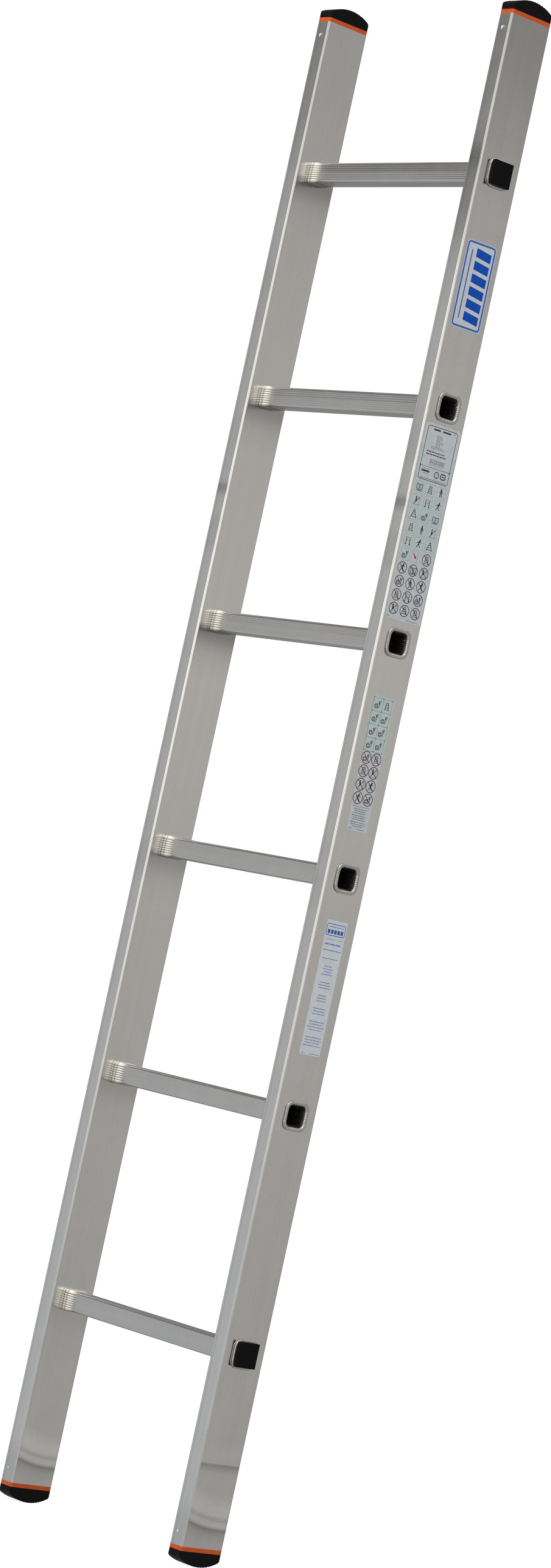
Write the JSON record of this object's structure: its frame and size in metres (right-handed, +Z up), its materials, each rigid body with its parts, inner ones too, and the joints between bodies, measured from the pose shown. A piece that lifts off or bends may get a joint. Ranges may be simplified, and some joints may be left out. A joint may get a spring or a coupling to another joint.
{
  "type": "leaning ladder",
  "caption": "Straight single-section aluminium leaning ladder with box stiles, square grooved rungs crimped through them, curved rubber-soled end caps and square rung plugs.",
  "frame": {"origin": "midway between the two feet, on the surface they stand on, in the middle of the stiles' depth", "axes": "+Z up the stiles, +X along the rungs towards the stile that carries the labels, +Y to the back, the side that leans on a wall"},
  "size_m": [0.3684, 0.062, 1.856],
  "materials": {
    "stile_alloy": "satin mill finish, faint vertical die lines",
    "rung_alloy": "satin mill finish, grooved",
    "cap_band": "satin moulded, burnt orange",
    "cap_pad": "matte black rubber, fine treads on the sole",
    "plug": "matte black moulded plastic",
    "label_stock": "printed film, pale grey-blue, satin"
  },
  "bodies": {
    "root": {"left_stile": "stile_alloy", "right_stile": "stile_alloy", "rung_1": "rung_alloy", "rung_2": "rung_alloy", "rung_3": "rung_alloy", "rung_4": "rung_alloy", "rung_5": "rung_alloy", "rung_6": "rung_alloy", "foot_cap_left": "cap_band", "foot_cap_right": "cap_band", "head_cap_left": "cap_band", "head_cap_right": "cap_band", "foot_pad_left": "cap_pad", "foot_pad_right": "cap_pad", "head_pad_left": "cap_pad", "head_pad_right": "cap_pad", "bottom_plug_left": "plug", "bottom_plug_right": "plug", "top_plug_left": "plug", "top_plug_right": "plug", "name_label": "label_stock", "rating_label": "label_stock", "use_label": "label_stock", "care_label": "label_stock"}
  },
  "joints": []
}
